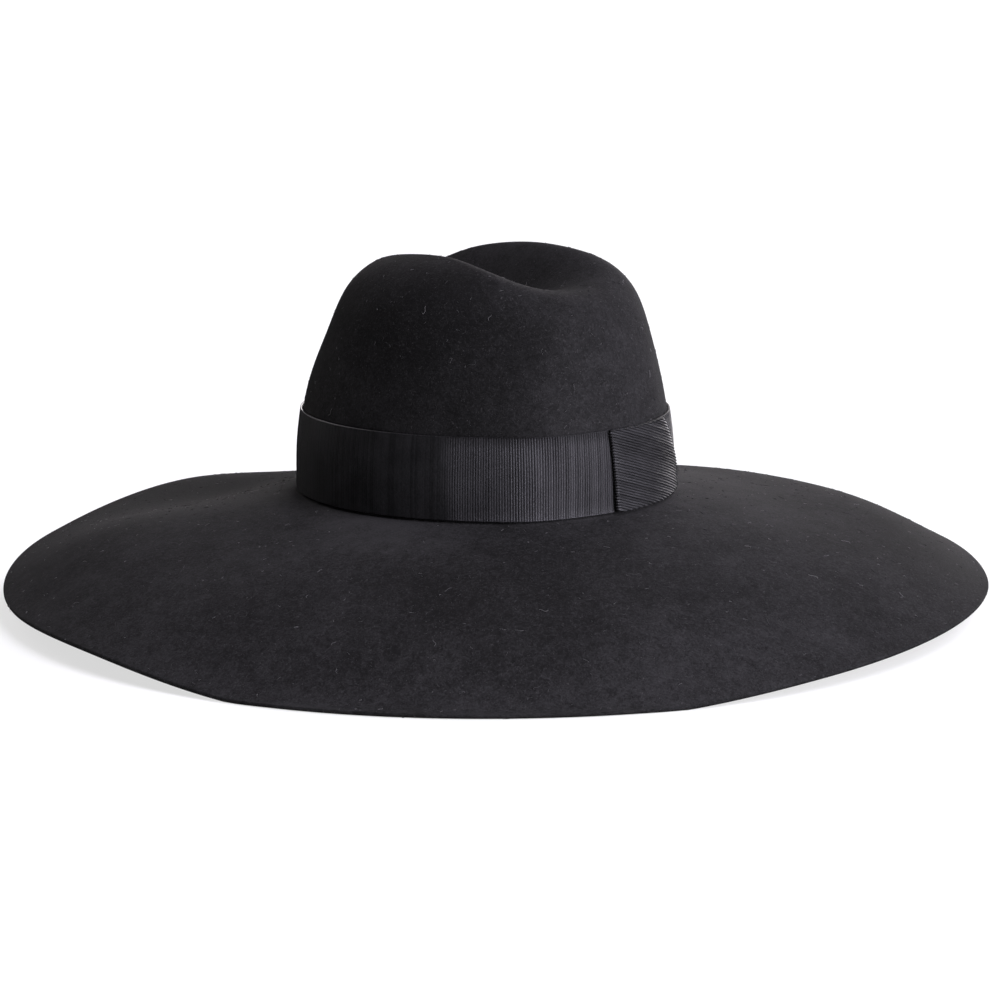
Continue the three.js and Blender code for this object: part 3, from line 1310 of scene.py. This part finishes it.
@dataclass
class RibbonWrap(Ribbon):
    """The short wrap over the ribbon's join, with falling ribs, from a fold to a cut end.

    The angles of its start and its end, and the fold's radius, are given at its bottom and its top.
    The ribs' fall is given at its start and after a run.
    """

    under: float = 1.6
    thickness: float = 1.1
    pitch: float = 1.25
    start_bottom: float = 177.6
    start_top: float = 175.8
    end_bottom: float = 228.0
    end_top: float = 205.0
    longest: float = 80.0
    fall_start: float = 18.5
    fall_end: float = 17.5
    fall_run: float = 45.0
    fold_bottom: float = 1.05
    fold_top: float = 0.55
    fold_turns: int = 8
    fold_settles: float = 4.0
    fold_below: float = 0.8
    fold_length: float = 6.0
    end_drop: float = 0.4
    top_from: float = 0.3
    rib_depth: float = 1.35
    # painted light: the whole wrap is painted paler than the band; its top edge and cut end are
    # painted darker
    tone: float = 0.08
    edge_light_and_shade: float = -0.6
    edge_width: float = 0.4
    step: float = 0.1
    run_points: int = 18
    run_crowding: float = 1.4
    back_points: int = 4

    def crossing(self, first: float, angles: Numbers, dropped: Numbers) -> tuple[int, int]:
        """Finds where a line along the ribs enters and leaves the wrap.

        Args:
            first: the line's height at the earliest angle.
            angles: the angles along it.
            dropped: how far it has fallen at each.

        Returns:
            The numbers of the first and last places inside.
        """
        heights = first - dropped
        share = heights / self.high
        start = self.start_bottom + (self.start_top - self.start_bottom) * share
        end = self.end_bottom + (self.end_top - self.end_bottom) * share
        inside = (heights >= self.low) & (heights <= self.high)
        places = np.flatnonzero(inside & (angles >= start) & (angles <= end))
        return (int(places[0]), int(places[-1])) if len(places) else (0, 0)

    def loop(self, length: float, radius: float) -> tuple[Numbers, Numbers]:
        """Goes once round the wrap along a rib: round the fold, over the top and back under.

        Args:
            length: the wrap's length there.
            radius: the fold's radius there.

        Returns:
            The ways along the rib and the distances off what lies under the wrap.
        """
        turns = np.linspace(-math.pi / 2, math.pi / 2, self.fold_turns)
        spread = np.linspace(0, 1, self.run_points)[1:] ** self.run_crowding
        over = radius + spread * (length - radius)
        swell = np.exp(-(((over - radius) / self.fold_settles) ** 2))
        settled = self.thickness + (2 * radius - self.thickness) * swell
        settled[-1] -= self.end_drop
        back = np.linspace(length, radius, self.back_points + 1)[:-1]
        run = np.concatenate([radius * (1 - np.cos(turns)), over, back])
        off = np.concatenate([radius * (1 + np.sin(turns)), settled, np.zeros(self.back_points)])
        return run, off

    def build(self) -> bpy.types.Object:
        """Makes the wrap.

        Returns:
            The finished piece.
        """
        middle = (self.low + self.high) / 2
        origin = self.form.length_at(middle, min(self.start_bottom, self.start_top))
        gone = np.arange(0, self.longest, self.step)
        angles = self.form.angles_at(middle, origin + gone)
        fall = np.radians(np.interp(gone, [0, self.fall_run], [self.fall_start, self.fall_end]))
        dropped = np.concatenate([[0], np.cumsum(np.tan(fall))[:-1] * self.step])
        between = self.pitch / self.per_rib / math.cos(math.radians(self.fall_start))
        loops, numbers, along, outside, shade = [], [], [], [], []
        for number, first in enumerate(np.arange(self.low, self.high + dropped[-1], between)):
            start, end = self.crossing(first, angles, dropped)
            length = gone[end] - gone[start]
            if length < 2 * self.fold_bottom:
                continue
            folded = np.clip((self.high - first) / self.fold_below, 0, 1)
            folded = folded * np.clip(length / self.fold_length, 0, 1)
            share = min(first / self.high, 1)
            radius = self.fold_bottom + (self.fold_top - self.fold_bottom) * share
            radius = radius * folded + 0.5 * self.thickness * (1 - folded)
            run, off = self.loop(length, radius)
            place = gone[start] + run
            heights = first - np.interp(place, gone, dropped)
            turned = np.interp(place, gone, angles)
            on_top = self.near_edge(length - run) * (off > self.top_from * self.thickness)
            on_top = on_top * (folded + (1 - folded) * self.near_edge(run))
            inside = np.minimum(self.high - self.edge_width - heights, length - run)
            loops.append(self.form.over_wall(heights, turned, self.under + off))
            numbers.append(np.full(run.shape, number / self.per_rib))
            along.append(place * MM)
            outside.append(on_top * self.rib_depth)
            # painted light over the wrap and painted shadow along its top edge and its cut end
            shade.append(self.tone + self.edge_light_and_shade * (1 - self.near_edge(inside)))
        marks = {
            Mark.RIB: np.array(numbers),
            Mark.ALONG: np.array(along),
            Mark.OUTSIDE: np.array(outside),
            Mark.SHADE: np.array(shade),
        }
        return self.carve("ribbon_fold_over", np.array(loops), marks, ring=False)


# Studio


@dataclass(frozen=True)
class Viewpoint:
    """Where the camera stands, from the crown's axis."""

    azimuth: float = 140.0
    distance: float = 1700.0
    height: float = 375.0
    pitch: float = 10.80
    yaw: float = 0.274
    focal: float = 124.24
    sensor: float = 36.0

    def place(self) -> None:
        """Makes the camera."""
        near = towards(self.azimuth)
        right = Vector((-near.y, near.x, 0))
        yaw, pitch = math.radians(self.yaw), math.radians(self.pitch)
        ahead = -near * math.cos(yaw) + right * math.sin(yaw)
        look = ahead * math.cos(pitch) - Vector((0, 0, math.sin(pitch)))
        data = bpy.data.cameras.new("photo_view")
        data.lens, data.sensor_width = self.focal, self.sensor
        camera = placed("photo_view", data)
        camera.location = near * self.distance * MM + axis() + Vector((0, 0, self.height * MM))
        camera.rotation_euler = look.to_track_quat("-Z", "Y").to_euler()
        bpy.context.scene.camera = camera


@dataclass(frozen=True)
class SoftLight:
    """A distant soft light."""

    name: str
    azimuth: float
    elevation: float
    strength: float
    colour: Colour
    softness: float = 35.0

    def place(self) -> None:
        """Makes the light."""
        data = bpy.data.lights.new(self.name, "SUN")
        data.energy, data.angle = self.strength * math.pi, math.radians(self.softness)
        data.color = self.colour
        lamp = placed(self.name, data)
        lamp.location = towards(self.azimuth, self.elevation)
        lamp.rotation_euler = (-lamp.location).to_track_quat("-Z", "Y").to_euler()


@dataclass(frozen=True)
class Studio:
    """A plain pale floor and backdrop under soft light."""

    lights: tuple[SoftLight, ...] = (
        SoftLight("key", azimuth=185.0, elevation=50.0, strength=1.16, colour=COOL),
        SoftLight("near_side", azimuth=200.0, elevation=12.0, strength=1.35, colour=COOL),
        SoftLight("far_side", azimuth=230.0, elevation=12.0, strength=0.42, colour=COOL),
        SoftLight(
            "low_back", azimuth=300.0, elevation=12.0, strength=0.85, colour=WARM, softness=50.0,
        ),
        SoftLight("high_back", azimuth=0.0, elevation=32.0, strength=0.30, colour=WARM),
    )
    ambient: float = 0.033
    glow: float = 0.67
    grey: float = 0.30
    darker: float = 0.97
    roughness: float = 0.9
    blotch: Grain = Grain(400.0, 1)
    floor: float = 60.0
    sink: float = 0.3
    wall_radius: float = 29.0
    wall_height: float = 14.0
    wall_sides: int = 64

    def pale(self, glow: float) -> bpy.types.Material:
        """Makes the floor's and the backdrop's finish.

        Args:
            glow: how much light it gives by itself.

        Returns:
            The material.
        """
        made = Finish("pale_paper")
        shades = (self.grey,) * 3, (self.darker * self.grey,) * 3
        shade = made.colours(made.noise(self.blotch), *shades)
        return made.surface({
            "Base Color": shade, "Roughness": self.roughness, "Specular IOR Level": 0.0,
            "Emission Color": (1.0, 1.0, 1.0, 1.0), "Emission Strength": glow,
        })

    def stand(self, name: str, points: list[tuple], faces: Faces, glow: float) -> bpy.types.Object:
        """Makes a part of the studio, which the ribbon doesn't mirror.

        Args:
            name: its name.
            points: its points, in metres.
            faces: its faces.
            glow: how much light it gives by itself.

        Returns:
            The new object.
        """
        mesh = bpy.data.meshes.new(name)
        mesh.from_pydata(points, [], faces)
        mesh.materials.append(self.pale(glow))
        part = placed(name, mesh)
        part.visible_glossy = False
        return part

    def place(self) -> None:
        """Makes the floor, the backdrop, the lights and the surrounding light."""
        half, low = self.floor / 2, -self.sink * MM
        corners = [(-half, -half, low), (half, -half, low), (half, half, low), (-half, half, low)]
        self.stand("floor", corners, [(0, 1, 2, 3)], self.glow)
        turns = [2 * math.pi * side / self.wall_sides for side in range(self.wall_sides)]
        points = [
            (self.wall_radius * math.cos(turn), self.wall_radius * math.sin(turn), height)
            for height in (self.wall_height, low) for turn in turns
        ]
        backdrop = self.stand("backdrop", points, grid_faces(2, self.wall_sides), 1.0)
        backdrop.visible_diffuse = False
        backdrop.visible_shadow = False
        for light in self.lights:
            light.place()
        world = bpy.data.worlds.new("studio")
        world.use_nodes = True
        air = Graph(world.node_tree)
        glow = air.node("ShaderNodeBackground", values={
            "Color": (1.0, 1.0, 1.0, 1.0), "Strength": self.ambient,
        })
        air.node("ShaderNodeOutputWorld", values={"Surface": glow})
        bpy.context.scene.world = world
        bpy.context.scene.view_settings.view_transform = "Standard"


def main() -> None:
    """Builds the hat and its studio."""
    logging.basicConfig(level=logging.INFO, format="%(message)s")
    Viewpoint().place()
    form = HatForm()
    ribbon = (form, BlackGrosgrain(), Ribs())

    felt = FeltBody(form, BlackFelt()).build()
    settle(felt, "felt", "felt_body")
    settle(RibbonBand(*ribbon).build(), "ribbon", "ribbon_band")
    settle(RibbonWrap(*ribbon).build(), "ribbon", "ribbon_wrap")
    settle(Lint(PaleLint()).build(felt), "felt")

    Studio().place()


if __name__ == "__main__":
    main()
